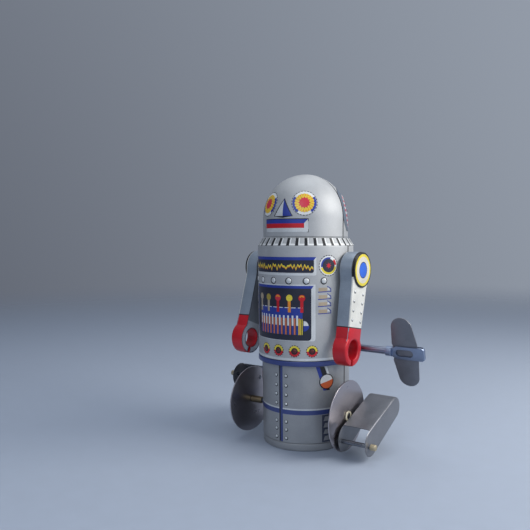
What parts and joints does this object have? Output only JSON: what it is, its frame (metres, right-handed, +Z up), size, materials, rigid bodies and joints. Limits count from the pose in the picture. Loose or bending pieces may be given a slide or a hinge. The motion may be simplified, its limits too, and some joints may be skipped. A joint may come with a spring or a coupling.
{
  "type": "tin wind-up robot",
  "caption": "Lithographed tin toy robot with swinging arms, a side winding key and two shoes walked by crank discs on a clockwork motor.",
  "frame": {"origin": "centre of the base pan's flat underside, on the floor", "axes": "+Z up, the robot faces -Y, its left side and the winding key are on +X"},
  "size_m": [0.1159, 0.0598, 0.14],
  "materials": {
    "tin_silver": "silver litho print under clear varnish",
    "tin_blue": "blue litho print under clear varnish",
    "arm_tin": "white and grey litho print with a red hand",
    "cap_print": "printed rings of black, yellow, cream and blue",
    "bright_steel": "polished tinplate",
    "dark_tin": "dark grey lacquer, semi-gloss",
    "brass_trim": "dull brass",
    "motor_steel": "plain stamped steel",
    "motor_brass": "stamped brass",
    "spring_steel": "blued spring steel"
  },
  "bodies": {
    "frame": {"head_front": "tin_silver", "head_back": "tin_silver", "chest_front": "tin_silver", "chest_back": "tin_silver", "waist_ring": "tin_blue", "skirt_front": "tin_silver", "skirt_back": "tin_silver", "base_pan": "tin_silver", "shoulder_rod": "bright_steel", "shoulder_bush_left": "bright_steel", "shoulder_bush_right": "bright_steel", "motor_plate_left": "motor_steel", "motor_plate_right": "motor_steel", "motor_pillar_1": "motor_steel", "motor_pillar_2": "motor_steel", "motor_pillar_3": "motor_steel", "motor_pillar_4": "motor_steel", "motor_bracket_front": "motor_steel", "motor_bracket_back": "motor_steel", "mainspring": "spring_steel", "pallet_pin": "motor_steel"},
    "left_arm": {"arm_left": "arm_tin", "arm_back_left": "motor_steel", "shoulder_cap_left": "cap_print"},
    "right_arm": {"arm_right": "arm_tin", "arm_back_right": "motor_steel", "shoulder_cap_right": "cap_print"},
    "cranks": {"crank_axle": "bright_steel", "crank_disc_left": "bright_steel", "crank_disc_right": "bright_steel", "axle_sleeve_left": "brass_trim", "axle_sleeve_right": "brass_trim", "crank_pin_left": "bright_steel", "crank_pin_right": "bright_steel", "pin_cap_left": "brass_trim", "pin_cap_right": "brass_trim", "crank_pinion": "motor_steel"},
    "left_shoe": {"foot_left": "dark_tin"},
    "right_shoe": {"foot_right": "dark_tin"},
    "key": {"winding_arbor": "bright_steel", "key_strap": "dark_tin", "key_wings": "dark_tin", "ratchet_wheel": "motor_steel"},
    "great": {"great_wheel": "motor_brass", "click_spring": "motor_steel"},
    "click_lever": {"click": "motor_steel"},
    "second": {"second_arbor": "motor_steel", "second_pinion": "motor_steel", "second_wheel": "motor_brass"},
    "governor": {"governor_arbor": "motor_steel", "governor_pinion": "motor_steel", "star_wheel": "motor_brass"},
    "rocker": {"pallet": "motor_steel"}
  },
  "joints": [
    {"name": "arm_left_swing", "type": "hinge", "parent": "frame", "child": "left_arm", "pos_m": [0, 0, 0.0919], "axis": [1, 0, 0], "range_deg": [-150, 2]},
    {"name": "arm_right_swing", "type": "hinge", "parent": "frame", "child": "right_arm", "pos_m": [0, 0, 0.0919], "axis": [1, 0, 0], "range_deg": [-140, 50]},
    {"name": "crank_spin", "type": "hinge", "parent": "frame", "child": "cranks", "pos_m": [0, -0.0092, 0.0192], "axis": [1, 0, 0], "continuous": true},
    {"name": "shoe_left_pivot", "type": "hinge", "parent": "cranks", "child": "left_shoe", "pos_m": [0, -0.0166, 0.0086], "axis": [1, 0, 0], "continuous": true},
    {"name": "shoe_right_pivot", "type": "hinge", "parent": "cranks", "child": "right_shoe", "pos_m": [0, -0.0018, 0.0298], "axis": [1, 0, 0], "continuous": true},
    {"name": "key_wind", "type": "hinge", "parent": "frame", "child": "key", "pos_m": [0, 0.005, 0.0517], "axis": [1, 0, 0], "continuous": true},
    {"name": "great_wheel_spin", "type": "hinge", "parent": "frame", "child": "great", "pos_m": [0, 0.005, 0.0517], "axis": [1, 0, 0], "continuous": true},
    {"name": "click_pivot", "type": "hinge", "parent": "great", "child": "click_lever", "pos_m": [0, 0.01235, 0.05787], "axis": [1, 0, 0], "range_deg": [-12, 0], "stiffness_Nm_per_rad": 0.00003, "springref_deg": 17.19},
    {"name": "second_arbor_spin", "type": "hinge", "parent": "frame", "child": "second", "pos_m": [0, 0.00171, 0.03197], "axis": [1, 0, 0], "continuous": true},
    {"name": "governor_spin", "type": "hinge", "parent": "frame", "child": "governor", "pos_m": [0, 0.008, 0.01682], "axis": [1, 0, 0], "continuous": true},
    {"name": "pallet_rock", "type": "hinge", "parent": "frame", "child": "rocker", "pos_m": [0, 0.0159, 0.02366], "axis": [1, 0, 0], "range_deg": [-4, 4]}
  ],
  "couplings": [
    {"joint": "shoe_left_pivot", "follows": "crank_spin", "ratio": -1},
    {"joint": "shoe_right_pivot", "follows": "crank_spin", "ratio": -1},
    {"joint": "second_arbor_spin", "follows": "crank_spin", "ratio": -0.27273},
    {"joint": "great_wheel_spin", "follows": "crank_spin", "ratio": 0.051948},
    {"joint": "governor_spin", "follows": "crank_spin", "ratio": 1.125}
  ]
}
